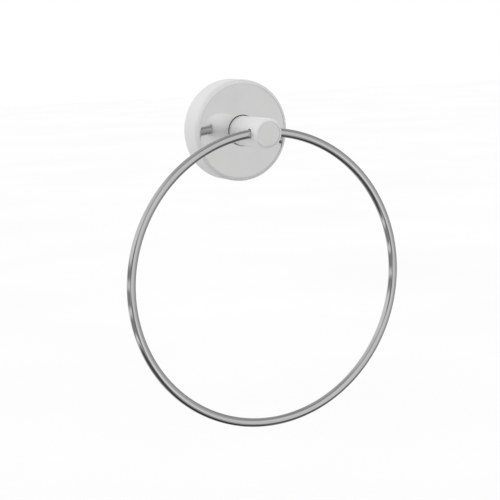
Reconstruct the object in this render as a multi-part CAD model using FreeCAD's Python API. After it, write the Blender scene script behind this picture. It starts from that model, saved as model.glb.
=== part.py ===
"""Towel ring: a wire hoop that hangs from a round post on a deep round rose.

Frame: the wall is the plane y = 0 and the ring stands out from it toward -Y.
+Z is up. The origin is the middle of the wall face, on the post's axis.
All sizes are in millimetres, and a depth is a distance from the wall.
"""
import FreeCAD, Part
import math
import os

from FreeCAD import Vector

# Ring
ring_radius = 82.5
wire_diameter = 5.0
ring_end_chamfer = 0.4

# Rose, the deep round cover at the wall
rose_diameter = 58.0
rose_depth = 17.0
rose_edge_round = 2.75
rose_side_wall = 1.6
rose_front_wall = 2.0
rose_least_inner_round = 0.5
rose_rim_chamfer = 0.3
post_seat_depth = 0.9

# Post
post_diameter = 17.0
post_length = 33.5
post_edge_round = 2.25
ring_set_back = 8.0
web_between_ring_holes = 3.0
spigot_diameter = 10.0
spigot_flat_depth = 0.8
tapped_hole_depth = 15.0
drill_point_angle = 118.0

# Wall bracket
flange_thickness = 2.0
boss_to_pad_gap = 3.4
groove_depth = 1.5
groove_land = 1.0
bracket_wall = 2.0
bracket_front_plate = 3.5
bracket_to_washer_gap = 1.3
wall_screw_hole_diameter = 4.5
wall_screw_head_diameter = 9.0
wall_screw_boss_wall = 2.6
wall_screw_boss_inset = 1.15

# Screw and washers that hold the post
post_screw_diameter = 5.0
post_screw_length = 14.0
post_screw_chamfer = 0.6
post_screw_head_diameter = 8.5
post_screw_head_height = 3.5
post_screw_key = 3.0
post_screw_key_depth = 1.8
flat_washer_diameter = 15.0
flat_washer_thickness = 1.2
lock_washer_diameter = 9.2
lock_washer_thickness = 1.2
lock_washer_slit = 0.7
lock_washer_slit_angle = 30.0

# Grub screw that holds the rose on the bracket
grub_diameter = 4.0
grub_recess = 1.4
grub_key = 2.0
grub_key_depth = 2.2
grub_chamfer = 1.0
grub_pad_wall = 1.4
grub_pad_height = 2.5

# Clearances, each on one side
running_clearance = 0.05
ring_end_clearance = 0.4
thread_clearance = 0.05
flat_washer_clearance = 0.15
lock_washer_clearance = 0.05
post_seat_clearance = 0.5
spigot_clearance = 0.05
spigot_end_gap = 0.1
flange_clearance = 0.2
screw_head_clearance = 1.75
screw_head_end_gap = 1.1
grub_point_gap = 0.05

# Lengths past a surface for tools that cut through it, and the tolerance for finding an edge
cut_past = 2.0
edge_tolerance = 0.001

# Places and sizes of the rose and the post
rose_radius = rose_diameter / 2
rose_inner_radius = rose_radius - rose_side_wall
rose_inner_depth = rose_depth - rose_front_wall
post_radius = post_diameter / 2
post_foot_depth = rose_depth - post_seat_depth
post_front_depth = rose_depth + post_length
ring_depth = post_front_depth - ring_set_back
spigot_start_depth = rose_inner_depth + spigot_end_gap

# The screw stack, from the inside of the rose back toward the wall
post_screw_radius = post_screw_diameter / 2
lock_washer_depth = rose_inner_depth - flat_washer_thickness - lock_washer_thickness
screw_head_back_depth = lock_washer_depth - post_screw_head_height

# The bracket fits inside the rose and clears the screw stack and the grub screw's pad
flange_radius = rose_inner_radius - flange_clearance
boss_radius = rose_inner_radius - grub_pad_height - boss_to_pad_gap
bracket_depth = rose_inner_depth - flat_washer_thickness - bracket_to_washer_gap
groove_floor_radius = boss_radius - groove_depth
grub_depth = (flange_thickness + bracket_depth) / 2
head_pocket_radius = post_screw_head_diameter / 2 + screw_head_clearance
wall_screw_boss_radius = wall_screw_hole_diameter / 2 + wall_screw_boss_wall
wall_screw_x = groove_floor_radius - wall_screw_boss_inset - wall_screw_boss_radius

UP = Vector(0, 0, 1)
ALONG_X = Vector(1, 0, 0)
TO_WALL = Vector(0, 1, 0)
TO_ROOM = Vector(0, -1, 0)
ORIGIN = Vector(0, 0, 0)


def ring_sag(x):
    """How far the ring's centreline lies below its top, at a distance x to one side."""
    return ring_radius - math.sqrt(ring_radius ** 2 - x ** 2)


# The wire is curved and its holes are straight. So its middle runs as far above the holes' axis
# at the end of the wire as it runs below that axis at the mouth of the hole.
ring_end_x = web_between_ring_holes / 2 + ring_end_clearance
ring_top_rise = (ring_sag(post_radius) + ring_sag(ring_end_x)) / 2
ring_wander = (ring_sag(post_radius) - ring_sag(ring_end_x)) / 2
wire_slope_at_mouth = math.asin(post_radius / ring_radius)
wire_half_height = wire_diameter / 2 / math.cos(wire_slope_at_mouth)
ring_hole_radius = wire_half_height + ring_wander + running_clearance


def turned(profile):
    """A solid turned about the post's axis from corners given as (radius, depth)."""
    corners = [Vector(radius, -depth, 0) for radius, depth in profile]
    face = Part.Face(Part.makePolygon(corners + corners[:1]))
    return face.revolve(ORIGIN, TO_WALL, 360)


def rod(radius, from_depth, to_depth, x=0.0):
    """A round bar square to the wall, on the post's axis or beside it."""
    return Part.makeCylinder(radius, to_depth - from_depth, Vector(x, -from_depth, 0), TO_ROOM)


def round_edges(shape, radius, depth):
    """The circular edges of a turned shape at one radius and one depth."""
    found = []
    for edge in shape.Edges:
        if not isinstance(edge.Curve, Part.Circle):
            continue
        same_radius = abs(edge.Curve.Radius - radius) < edge_tolerance
        same_depth = abs(edge.Curve.Center.y + depth) < edge_tolerance
        if same_radius and same_depth:
            found.append(edge)
    return found


def hexagon_bar(across_flats, length, start, direction):
    """A six-sided bar that cuts a key socket."""
    corner_radius = across_flats / math.sqrt(3)
    angles = [math.radians(60 * step) for step in range(7)]
    corners = [Vector(corner_radius * math.cos(a), corner_radius * math.sin(a), 0) for a in angles]
    bar = Part.Face(Part.makePolygon(corners)).extrude(UP * length)
    bar.Placement = FreeCAD.Placement(start, FreeCAD.Rotation(UP, direction))
    return bar


def flatted_bar(radius, half_height, from_depth, to_depth):
    """A round bar with a flat above and below, which can't turn in a hole of the same form."""
    corner = Vector(-radius, -to_depth, -half_height)
    slab = Part.makeBox(2 * radius, to_depth - from_depth, 2 * half_height, corner)
    return rod(radius, from_depth, to_depth).common(slab)


def make_ring():
    """Wire bent into a hoop, open at the top where the post hides its two chamfered ends."""
    centre = Vector(0, -ring_depth, ring_top_rise - ring_radius)
    bottom = centre - UP * ring_radius
    half_turn = 180 - math.degrees(math.asin(ring_end_x / ring_radius))
    section = Part.Face(Part.Wire(Part.makeCircle(wire_diameter / 2, bottom, ALONG_X)))
    half = section.revolve(centre, TO_ROOM, half_turn)
    end = []
    for edge in half.Edges:
        around_wire = isinstance(edge.Curve, Part.Circle) and edge.Curve.Radius < wire_diameter
        if around_wire and edge.BoundBox.ZMin > centre.z:
            end.append(edge)
    half = half.makeChamfer(ring_end_chamfer, end)
    return half.fuse(half.mirror(ORIGIN, ALONG_X))


def make_rose():
    """A deep cup: flat front, round edge, a sunk seat and a flatted hole for the post, and a grub screw pad."""
    cup = turned([
        (rose_inner_radius, 0),
        (rose_radius, 0),
        (rose_radius, rose_depth),
        (0, rose_depth),
        (0, rose_inner_depth),
        (rose_inner_radius, rose_inner_depth),
    ])
    inner_round = max(rose_edge_round - rose_side_wall, rose_least_inner_round)
    cup = cup.makeFillet(rose_edge_round, round_edges(cup, rose_radius, rose_depth))
    cup = cup.makeFillet(inner_round, round_edges(cup, rose_inner_radius, rose_inner_depth))
    cup = cup.makeChamfer(rose_rim_chamfer, round_edges(cup, rose_radius, 0))

    grub_hole_radius = grub_diameter / 2 + thread_clearance
    pad_bottom = Vector(0, -grub_depth, -rose_inner_radius - rose_side_wall / 2)
    pad_length = grub_pad_height + rose_side_wall / 2
    pad = Part.makeCylinder(grub_hole_radius + grub_pad_wall, pad_length, pad_bottom, UP)
    hole_bottom = Vector(0, -grub_depth, -rose_radius - cut_past)
    hole_length = grub_pad_height + rose_side_wall + 2 * cut_past
    grub_hole = Part.makeCylinder(grub_hole_radius, hole_length, hole_bottom, UP)
    post_hole = flatted_bar(
        spigot_diameter / 2 + spigot_clearance,
        spigot_diameter / 2 - spigot_flat_depth + spigot_clearance,
        rose_inner_depth - cut_past,
        rose_depth + cut_past,
    )
    post_seat = rod(post_radius + post_seat_clearance, post_foot_depth, rose_depth + cut_past)
    return cup.fuse(pad).cut(grub_hole).cut(post_hole).cut(post_seat)


def make_post():
    """A turned bar with a rounded front edge. Its foot stands in the rose's seat, and a spigot goes through."""
    bar = rod(post_radius, post_foot_depth, post_front_depth)
    bar = bar.makeFillet(post_edge_round, round_edges(bar, post_radius, post_front_depth))
    spigot_radius = spigot_diameter / 2
    spigot = flatted_bar(spigot_radius, spigot_radius - spigot_flat_depth, spigot_start_depth, post_foot_depth)
    return bar.fuse(spigot).cut(make_post_holes())


def make_post_holes():
    """The tapped hole in the back of the post and the two blind holes for the ring's ends."""
    tapped_radius = post_screw_radius + thread_clearance
    drill_start_depth = spigot_start_depth + tapped_hole_depth
    drill_point_length = tapped_radius / math.tan(math.radians(drill_point_angle / 2))
    tapped = rod(tapped_radius, spigot_start_depth - cut_past, drill_start_depth)
    point = Part.makeCone(
        tapped_radius, 0, drill_point_length, Vector(0, -drill_start_depth, 0), TO_ROOM
    )
    ring_hole_length = post_radius + cut_past - web_between_ring_holes / 2
    start = Vector(web_between_ring_holes / 2, -ring_depth, 0)
    right = Part.makeCylinder(ring_hole_radius, ring_hole_length, start, ALONG_X)
    left = right.mirror(ORIGIN, ALONG_X)
    return tapped.fuse([point, right, left])


def make_wall_bracket():
    """A cast disc with a flange that centres the rose and a groove that the grub screw grips."""
    groove_start = flange_thickness + groove_land
    groove_end = bracket_depth - groove_land
    body = turned([
        (0, 0),
        (flange_radius, 0),
        (flange_radius, flange_thickness),
        (boss_radius, flange_thickness),
        (boss_radius, groove_start),
        (groove_floor_radius, groove_start + groove_depth),
        (groove_floor_radius, groove_end - groove_depth),
        (boss_radius, groove_end),
        (boss_radius, bracket_depth),
        (0, bracket_depth),
    ])
    back_pocket_depth = bracket_depth - bracket_front_plate
    pocket_outer_radius = groove_floor_radius - bracket_wall
    pocket_inner_radius = head_pocket_radius + bracket_wall
    back_pocket = rod(pocket_outer_radius, -cut_past, back_pocket_depth).cut(
        rod(pocket_inner_radius, -cut_past, back_pocket_depth)
    )
    head_pocket = rod(head_pocket_radius, screw_head_back_depth - screw_head_end_gap, bracket_depth + cut_past)
    body = body.cut(back_pocket).cut(head_pocket)
    for side in (-1, 1):
        x = side * wall_screw_x
        body = body.fuse(rod(wall_screw_boss_radius, 0, back_pocket_depth, x))
    for side in (-1, 1):
        x = side * wall_screw_x
        body = body.cut(rod(wall_screw_hole_diameter / 2, -cut_past, bracket_depth + cut_past, x))
        body = body.cut(make_countersink(x))
    return body.removeSplitter()


def make_countersink(x):
    """A 90 degree cone for the head of a wall screw, flush with the front of the bracket."""
    head_radius = wall_screw_head_diameter / 2
    start = Vector(x, -bracket_depth - cut_past, 0)
    return Part.makeCone(head_radius + cut_past, 0, head_radius + cut_past, start, TO_WALL)


def make_post_screw():
    """A socket screw with a low head, from inside the rose into the back of the post."""
    head_radius = post_screw_head_diameter / 2
    tip_depth = lock_washer_depth + post_screw_length
    screw = turned([
        (0, screw_head_back_depth),
        (head_radius - post_screw_chamfer, screw_head_back_depth),
        (head_radius, screw_head_back_depth + post_screw_chamfer),
        (head_radius, lock_washer_depth),
        (post_screw_radius, lock_washer_depth),
        (post_screw_radius, tip_depth - post_screw_chamfer),
        (post_screw_radius - post_screw_chamfer, tip_depth),
        (0, tip_depth),
    ])
    socket_start = Vector(0, -screw_head_back_depth, 0)
    return screw.cut(hexagon_bar(post_screw_key, post_screw_key_depth, socket_start, TO_ROOM))


def make_post_washer():
    """A large flat washer that spreads the screw's pull over the front wall of the rose."""
    back_depth = rose_inner_depth - flat_washer_thickness
    hole_radius = post_screw_radius + flat_washer_clearance
    washer = rod(flat_washer_diameter / 2, back_depth, rose_inner_depth)
    return washer.cut(rod(hole_radius, back_depth, rose_inner_depth))


def make_lock_washer():
    """A spring washer with a slanted slit, pressed flat under the head of the screw."""
    front_depth = lock_washer_depth + lock_washer_thickness
    hole_radius = post_screw_radius + lock_washer_clearance
    washer = rod(lock_washer_diameter / 2, lock_washer_depth, front_depth)
    washer = washer.cut(rod(hole_radius, lock_washer_depth, front_depth))
    slit_length = lock_washer_thickness + 2 * cut_past
    slit = Part.makeBox(lock_washer_slit, slit_length, lock_washer_diameter)
    slit.translate(Vector(-lock_washer_slit / 2, -slit_length / 2, 0))
    slit.rotate(ORIGIN, UP, lock_washer_slit_angle)
    slit.translate(Vector(0, -(lock_washer_depth + front_depth) / 2, 0))
    return washer.cut(slit)


def make_rose_grub_screw():
    """A headless socket screw in the underside of the rose, its point on the floor of the groove."""
    point_z = -groove_floor_radius - grub_point_gap
    length = rose_radius - grub_recess + point_z
    radius = grub_diameter / 2
    point = Vector(0, -grub_depth, point_z)
    screw = Part.makeCylinder(radius, length, point, -UP)
    tip = [edge for edge in screw.Edges if edge.BoundBox.ZMin > point_z - edge_tolerance]
    screw = screw.makeChamfer(grub_chamfer, tip)
    socket_start = Vector(0, -grub_depth, point_z - length)
    return screw.cut(hexagon_bar(grub_key, grub_key_depth, socket_start, UP))


pieces = {
    "ring": make_ring(),
    "post": make_post(),
    "rose": make_rose(),
    "wall_bracket": make_wall_bracket(),
    "rose_grub_screw": make_rose_grub_screw(),
    "post_screw": make_post_screw(),
    "post_washer": make_post_washer(),
    "lock_washer": make_lock_washer(),
}

os.makedirs("parts", exist_ok=True)
for name, shape in pieces.items():
    shape.exportStep("parts/" + name + ".step")
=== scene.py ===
"""Looks, light and camera for the towel ring: chrome outside, cast zinc and steel inside.

The wall is the plane y = 0 and the ring stands out from it toward -Y. +Z is up. Lengths are in metres.
"""

import math

import bpy
from mathutils import Matrix, Vector


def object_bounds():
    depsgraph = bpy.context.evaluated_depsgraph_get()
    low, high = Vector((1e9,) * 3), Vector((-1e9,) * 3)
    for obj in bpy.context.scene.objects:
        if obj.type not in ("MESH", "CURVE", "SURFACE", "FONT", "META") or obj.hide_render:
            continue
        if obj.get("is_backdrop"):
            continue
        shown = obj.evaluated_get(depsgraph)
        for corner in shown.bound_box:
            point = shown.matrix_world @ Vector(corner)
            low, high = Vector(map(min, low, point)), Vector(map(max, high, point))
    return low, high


# The photograph's camera: where it stands, where it points in degrees, and its focal length in pixels
PHOTO_WIDTH = 500
CAMERA_PLACE = Vector((-0.42145, -0.88602, 0.06833))
CAMERA_AZIMUTH = -26.0
CAMERA_ELEVATION = 8.09
CAMERA_ROLL = -1.72
FOCAL_PIXELS = 1692.4
SENSOR_WIDTH = 36.0

# What the chrome sees of the studio, as soft-edged cards that lie over each other in this order.
# Each has its azimuth, elevation, half width, half height and edge in degrees, and then its level,
# where 1 is white. Azimuth 0 is toward the room, 90 toward +X and 180 behind the wall.
BARE_STUDIO_LEVEL = 0.40
STUDIO_CARDS = (
    ("ceiling", 0, 78, 185, 24, 8, 0.36),
    ("left_wall", -102, 32, 46, 27, 8, 0.70),
    ("left_softbox", -95, 20, 38, 13, 5, 0.84),
    ("left_shade", -100, -16, 50, 21, 4, 0.29),
    ("front", 5, 10, 37, 40, 6, 0.79),
    ("low_softbox", 8, -23, 14, 9, 5, 1.0),
    ("grey_card", 27, -7, 8, 7, 4, 0.70),
    ("camera_shade", -36, 3, 10, 8, 5, 0.14),
    ("tripod", -28, -21, 15, 10, 5, 0.22),
    ("right_wall", 70, 8, 26, 26, 8, 0.50),
    ("right_low_gap", 76, -46, 42, 15, 6, 0.13),
    ("floor_left", -72, -52, 52, 14, 5, 0.08),
    ("floor", 0, -86, 185, 24, 6, 0.04),
    ("window_bar_low", -100, -34, 50, 2.5, 2, 0.85),
    ("window_bar_middle", -100, -19, 50, 2.5, 2, 0.80),
    ("window_bar_high", -100, -5, 50, 2.5, 2, 0.72),
    ("behind_right", 114, -2, 22, 42, 6, 0.33),
    ("white_wall", 180, 6, 34, 30, 8, 0.90),
    ("overhead_softbox", -140, 74, 60, 10, 6, 0.64),
)

# What lights matt surfaces: the level at the horizon, with what is added straight up
# and what is lost straight down
DIFFUSE_LEVEL = 0.92
DIFFUSE_GAIN_ABOVE = 0.4
DIFFUSE_LOSS_BELOW = 0.1

# What the noise mostly runs between
NOISE_LOW = 0.3
NOISE_HIGH = 0.7

# Chrome plate: its haze and its slight waviness
HAZE_SCALE = 60.0
HAZE_DETAIL = 4.0
WAVE_SCALE = 90.0
WAVE_DETAIL = 1.0
WAVE_DEPTH = 0.000002

# The turned pieces: a mirror on the flat front, softer on the round and the side,
# and a line of painted shade at the rim between
ROSE_EDGE_ROUND = 0.00275
POST_EDGE_ROUND = 0.00225
FRONT_DARK = (0.825, 0.825, 0.820)
FRONT_LIGHT = (0.865, 0.865, 0.858)
# Painted light and shade: side levels set apart from the front's, lighter on the post, darker on the rose
ROSE_SIDE_LEVEL = 0.82
POST_SIDE_LEVEL = 0.89
SIDE_VARIATION = 0.02
FLAT_ROUGHNESS = 0.08
BUFFED_ROUGHNESS = 0.45
BUFFED_METAL = 0.4
BUFFING_SPREAD = 0.0012
RIM_SPREAD = 0.0003
RIM_FADE = 0.0015
RIM_PAINTED_SHADE = 0.16
BLACK = (0.0, 0.0, 0.0)

# The rose's sunk seat for the post's foot, its painted shade, and the heights between which
# that painted shade goes from lit to dark
SEAT_CLEARANCE = 0.0005
SEAT_EDGE = 0.00005
SEAT_SHADE = (0.02, 0.02, 0.02)
SEAT_SHADE_BELOW = (0.40, 0.40, 0.40)
SEAT_LIT_HEIGHT = -0.004
SEAT_DARK_HEIGHT = 0.003

# The floor: how far it lies below the ring, its side, and its tone
FLOOR_DROP = 0.14
FLOOR_SIZE = 12.0
FLOOR_DARK = (0.82, 0.82, 0.82)
FLOOR_LIGHT = (0.84, 0.84, 0.84)


def plug(tree, value, socket):
    """Feeds a socket from another socket, or sets it to plain numbers."""
    if isinstance(value, bpy.types.NodeSocket):
        tree.links.new(value, socket)
    else:
        socket.default_value = value


def math_node(tree, operation, *values):
    """The result of one sum on sockets or numbers."""
    node = tree.nodes.new("ShaderNodeMath")
    node.operation = operation
    for socket, value in zip(node.inputs, values):
        plug(tree, value, socket)
    return node.outputs["Value"]


def mix_level(tree, share, first, second):
    """A level between two, chosen by a share from 0 to 1."""
    mix = tree.nodes.new("ShaderNodeMix")
    for name, value in (("Factor", share), ("A", first), ("B", second)):
        plug(tree, value, mix.inputs[name])
    return mix.outputs["Result"]


def mix_colours(tree, share, first, second):
    """A colour between two, chosen by a share from 0 to 1. Each may be a socket or three plain numbers."""
    mix = tree.nodes.new("ShaderNodeMix")
    mix.data_type = "RGBA"
    plug(tree, share, mix.inputs["Factor"])
    for name, colour in (("A", first), ("B", second)):
        plug(tree, (*colour, 1.0) if isinstance(colour, tuple) else colour, mix.inputs[name])
    return mix.outputs["Result"]


def ramp(tree, value, start, end):
    """Rises softly from 0 at start to 1 at end and stays level beyond both. Start may be the greater."""
    ranged = tree.nodes.new("ShaderNodeMapRange")
    ranged.interpolation_type = "SMOOTHSTEP"
    ranged.inputs["From Min"].default_value = start
    ranged.inputs["From Max"].default_value = end
    plug(tree, value, ranged.inputs["Value"])
    return ranged.outputs["Result"]


def noise(tree, scale, detail, stretch=(1.0, 1.0, 1.0)):
    """Noise through the solid in the part's own coordinates, scale in waves to the metre."""
    place = tree.nodes.new("ShaderNodeTexCoord")
    mapping = tree.nodes.new("ShaderNodeMapping")
    mapping.inputs["Scale"].default_value = stretch
    texture = tree.nodes.new("ShaderNodeTexNoise")
    texture.inputs["Scale"].default_value = scale
    texture.inputs["Detail"].default_value = detail
    tree.links.new(place.outputs["Object"], mapping.inputs["Vector"])
    tree.links.new(mapping.outputs["Vector"], texture.inputs["Vector"])
    return texture.outputs["Fac"]


def spread(tree, factor, low, high):
    """A number that runs from low to high as the noise does over its usual range."""
    ranged = tree.nodes.new("ShaderNodeMapRange")
    ranged.inputs["From Min"].default_value = NOISE_LOW
    ranged.inputs["From Max"].default_value = NOISE_HIGH
    ranged.inputs["To Min"].default_value = low
    ranged.inputs["To Max"].default_value = high
    plug(tree, factor, ranged.inputs["Value"])
    return ranged.outputs["Result"]


def blend_colours(tree, factor, dark, light):
    """A colour between two, chosen by the noise."""
    return mix_colours(tree, spread(tree, factor, 0.0, 1.0), dark, light)


def bump(tree, height, depth, shader):
    """Relief of a given depth in metres, on the shader's normal."""
    node = tree.nodes.new("ShaderNodeBump")
    node.inputs["Strength"].default_value = 1.0
    node.inputs["Distance"].default_value = depth
    tree.links.new(height, node.inputs["Height"])
    tree.links.new(node.outputs["Normal"], shader.inputs["Normal"])


def new_material(name, metallic):
    """A material, its node tree and its Principled shader."""
    material = bpy.data.materials.new(name)
    material.use_nodes = True
    shader = material.node_tree.nodes["Principled BSDF"]
    shader.inputs["Metallic"].default_value = metallic
    return material, material.node_tree, shader


def polished_chrome():
    """Mirror plate of the ring: nearly even, with a faint haze and the slight waviness of plated wire."""
    material, tree, shader = new_material("polished_chrome", 1.0)
    haze = noise(tree, HAZE_SCALE, HAZE_DETAIL)
    plating = blend_colours(tree, haze, dark=(0.620, 0.622, 0.625), light=(0.655, 0.654, 0.650))
    tree.links.new(plating, shader.inputs["Base Color"])
    tree.links.new(spread(tree, haze, low=0.03, high=0.06), shader.inputs["Roughness"])
    bump(tree, noise(tree, WAVE_SCALE, WAVE_DETAIL), WAVE_DEPTH, shader)
    return material


def buffed_chrome(name, flat_radius, side_level, seat_measure, seat_limit):
    """Bright plate of a turned piece: a mirror on its flat front, softer where the edge and side were buffed.

    The side's base colour is painted lighter or darker than the front's, as side_level says,
    to stand in for the light the side gets. A thin line of painted shade darkens the plate round
    the rim of the front. It has painted shade in the seat, darker at the top than lower down;
    the seat is where the piece's radius or depth, as seat_measure says, is less than seat_limit.
    """
    material, tree, shader = new_material(name, 1.0)
    haze = noise(tree, HAZE_SCALE, HAZE_DETAIL)
    place = tree.nodes.new("ShaderNodeTexCoord")
    split = tree.nodes.new("ShaderNodeSeparateXYZ")
    tree.links.new(place.outputs["Object"], split.inputs["Vector"])
    x, y, z = split.outputs
    square = math_node(tree, "MULTIPLY_ADD", x, x, math_node(tree, "MULTIPLY", z, z))
    measures = {"radius": math_node(tree, "SQRT", square), "depth": math_node(tree, "MULTIPLY", y, -1.0)}
    radius = measures["radius"]
    buffing_and_painted_side = ramp(tree, radius, flat_radius, flat_radius + BUFFING_SPREAD)
    rim_start = ramp(tree, radius, flat_radius - RIM_SPREAD, flat_radius + RIM_SPREAD)
    rim_end = ramp(tree, radius, flat_radius + RIM_SPREAD, flat_radius + RIM_FADE)
    rim = math_node(tree, "SUBTRACT", rim_start, rim_end)
    in_seat = ramp(tree, measures[seat_measure], seat_limit + SEAT_EDGE, seat_limit)

    front = blend_colours(tree, haze, FRONT_DARK, FRONT_LIGHT)
    # Painted light: the side's base level, set apart from the front's, stands in for the light the side gets
    side = blend_colours(tree, haze, (side_level - SIDE_VARIATION,) * 3, (side_level,) * 3)
    plating = mix_colours(tree, buffing_and_painted_side, front, side)
    # Painted shade: a thin dark line round the rim of the front
    plating = mix_colours(tree, math_node(tree, "MULTIPLY", rim, RIM_PAINTED_SHADE), plating, BLACK)
    # Painted shade in the seat: darker at the top, paler lower down
    height = ramp(tree, z, SEAT_LIT_HEIGHT, SEAT_DARK_HEIGHT)
    painted_seat_shade = mix_colours(tree, height, SEAT_SHADE_BELOW, SEAT_SHADE)
    plating = mix_colours(tree, in_seat, plating, painted_seat_shade)
    tree.links.new(plating, shader.inputs["Base Color"])
    tree.links.new(mix_level(tree, buffing_and_painted_side, 1.0, BUFFED_METAL), shader.inputs["Metallic"])
    gloss = mix_level(tree, buffing_and_painted_side, FLAT_ROUGHNESS, BUFFED_ROUGHNESS)
    gloss = math_node(tree, "MULTIPLY", gloss, spread(tree, haze, low=0.9, high=1.1))
    tree.links.new(gloss, shader.inputs["Roughness"])
    bump(tree, noise(tree, WAVE_SCALE, WAVE_DETAIL), WAVE_DEPTH, shader)
    return material


def cast_zinc():
    """Dull grey die casting with a mottled skin and a fine grain."""
    material, tree, shader = new_material("cast_zinc", 0.75)
    mottle = noise(tree, scale=220.0, detail=5.0)
    skin = blend_colours(tree, mottle, dark=(0.21, 0.22, 0.235), light=(0.33, 0.34, 0.355))
    tree.links.new(skin, shader.inputs["Base Color"])
    tree.links.new(spread(tree, mottle, low=0.48, high=0.68), shader.inputs["Roughness"])
    grain = noise(tree, scale=1400.0, detail=4.0)
    bump(tree, grain, depth=0.00012, shader=shader)
    return material


def plain_steel():
    """Satin stainless steel with fine lines from turning and stamping."""
    material, tree, shader = new_material("plain_steel", 1.0)
    grain = noise(tree, scale=900.0, detail=4.0, stretch=(1.0, 0.15, 1.0))
    steel = blend_colours(tree, grain, dark=(0.31, 0.31, 0.32), light=(0.40, 0.40, 0.41))
    tree.links.new(steel, shader.inputs["Base Color"])
    tree.links.new(spread(tree, grain, low=0.26, high=0.42), shader.inputs["Roughness"])
    bump(tree, grain, depth=0.00003, shader=shader)
    return material


def outer_radius(piece):
    """How far a turned piece reaches from the post's axis."""
    return max(corner[2] for corner in piece.bound_box)


def outer_depth(piece):
    """How far a piece stands out from the wall."""
    return max(-corner[1] for corner in piece.bound_box)


def dress(nodes):
    """Gives every CAD piece its finish."""
    rose_flat = outer_radius(nodes["rose"]) - ROSE_EDGE_ROUND
    post_flat = outer_radius(nodes["post"]) - POST_EDGE_ROUND
    seat_radius = outer_radius(nodes["post"]) + SEAT_CLEARANCE
    rose_depth = outer_depth(nodes["rose"])
    zinc = cast_zinc()
    steel = plain_steel()
    finishes = {
        "ring": polished_chrome(),
        "post": buffed_chrome("post_chrome", post_flat, POST_SIDE_LEVEL, "depth", rose_depth),
        "rose": buffed_chrome("rose_chrome", rose_flat, ROSE_SIDE_LEVEL, "radius", seat_radius),
        "wall_bracket": zinc,
        "rose_grub_screw": steel,
        "post_screw": steel,
        "post_washer": steel,
        "lock_washer": steel,
    }
    for name, material in finishes.items():
        nodes[name].material_slots[0].material = material


def card(tree, azimuth, elevation, middle, height, half_width, half_height, edge):
    """1 on a card and 0 beside it, with soft edges. All in degrees."""
    turn = math_node(tree, "WRAP", math_node(tree, "SUBTRACT", azimuth, middle), 180.0, -180.0)
    across = ramp(tree, math_node(tree, "ABSOLUTE", turn), half_width + edge, half_width - edge)
    rise = math_node(tree, "SUBTRACT", elevation, height)
    upright = ramp(tree, math_node(tree, "ABSOLUTE", rise), half_height + edge, half_height - edge)
    return math_node(tree, "MULTIPLY", across, upright)


def studio_world():
    """White to the camera, and an overcast sky to matt surfaces. The metal mirrors the studio's cards."""
    world = bpy.data.worlds.new("studio")
    world.use_nodes = True
    world.cycles.sampling_method = "NONE"
    bpy.context.scene.world = world
    tree = world.node_tree
    place = tree.nodes.new("ShaderNodeTexCoord")
    split = tree.nodes.new("ShaderNodeSeparateXYZ")
    tree.links.new(place.outputs["Generated"], split.inputs["Vector"])
    x, y, z = split.outputs
    azimuth = math_node(tree, "DEGREES", math_node(tree, "ARCTAN2", x, math_node(tree, "MULTIPLY", y, -1.0)))
    elevation = math_node(tree, "DEGREES", math_node(tree, "ARCSINE", z))
    level = BARE_STUDIO_LEVEL
    for name, *spot, card_level in STUDIO_CARDS:
        level = mix_level(tree, card(tree, azimuth, elevation, *spot), level, card_level)
        level.node.label = name

    above = math_node(tree, "MAXIMUM", z, 0.0)
    below = math_node(tree, "MINIMUM", z, 0.0)
    overcast = math_node(tree, "MULTIPLY_ADD", below, DIFFUSE_LOSS_BELOW, DIFFUSE_LEVEL)
    overcast = math_node(tree, "MULTIPLY_ADD", above, DIFFUSE_GAIN_ABOVE, overcast)
    path = tree.nodes.new("ShaderNodeLightPath")
    level = mix_level(tree, path.outputs["Is Diffuse Ray"], level, overcast)
    level = mix_level(tree, path.outputs["Is Camera Ray"], level, 1.0)
    tree.links.new(level, tree.nodes["Background"].inputs["Color"])


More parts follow.
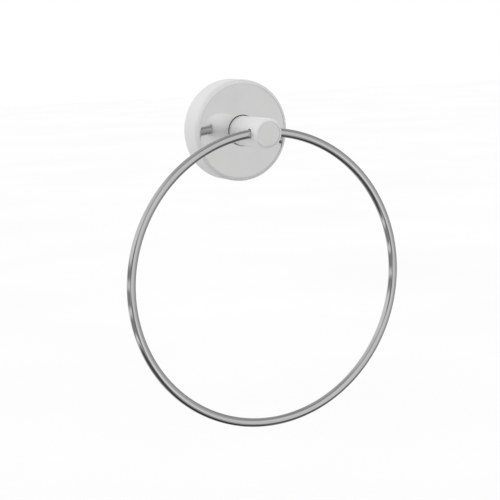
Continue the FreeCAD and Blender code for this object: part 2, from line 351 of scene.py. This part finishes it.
def pale_floor():
    """A matt pale floor below the ring. The metal doesn't mirror it: the cards stand for the studio."""
    low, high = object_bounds()
    bpy.ops.mesh.primitive_plane_add(size=FLOOR_SIZE, location=(0, 0, low.z - FLOOR_DROP))
    floor = bpy.context.object
    floor.name = "floor"
    material, tree, shader = new_material("pale_floor", 0.0)
    shade = blend_colours(tree, noise(tree, scale=3.0, detail=3.0), FLOOR_DARK, FLOOR_LIGHT)
    tree.links.new(shade, shader.inputs["Base Color"])
    shader.inputs["Roughness"].default_value = 0.9
    shader.inputs["Specular IOR Level"].default_value = 0.0
    floor.data.materials.append(material)
    floor.visible_glossy = False
    floor.visible_diffuse = False
    floor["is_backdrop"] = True


def photo_camera():
    """The camera at the photograph's viewing angle."""
    azimuth = math.radians(CAMERA_AZIMUTH)
    elevation = math.radians(CAMERA_ELEVATION)
    roll = math.radians(CAMERA_ROLL)
    back = Vector((
        math.sin(azimuth) * math.cos(elevation),
        -math.cos(azimuth) * math.cos(elevation),
        math.sin(elevation),
    ))
    level_right = Vector((0, 0, 1)).cross(back).normalized()
    level_up = back.cross(level_right)
    right = math.cos(roll) * level_right + math.sin(roll) * level_up
    up = math.cos(roll) * level_up - math.sin(roll) * level_right
    turn = Matrix((right, up, back)).transposed().to_4x4()
    data = bpy.data.cameras.new("photo_camera")
    data.sensor_width = SENSOR_WIDTH
    data.lens = FOCAL_PIXELS / PHOTO_WIDTH * SENSOR_WIDTH
    camera = bpy.data.objects.new("photo_camera", data)
    camera.matrix_world = Matrix.Translation(CAMERA_PLACE) @ turn
    bpy.context.collection.objects.link(camera)
    bpy.context.scene.camera = camera


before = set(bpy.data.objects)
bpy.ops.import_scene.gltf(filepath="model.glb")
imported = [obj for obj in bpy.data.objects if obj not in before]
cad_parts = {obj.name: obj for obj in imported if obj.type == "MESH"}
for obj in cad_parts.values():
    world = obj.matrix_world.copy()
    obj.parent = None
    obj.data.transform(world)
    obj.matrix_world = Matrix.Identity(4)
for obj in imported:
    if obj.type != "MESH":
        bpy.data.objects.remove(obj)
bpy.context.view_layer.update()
bpy.context.scene.view_settings.view_transform = "Standard"
dress(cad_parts)
photo_camera()
studio_world()
pale_floor()
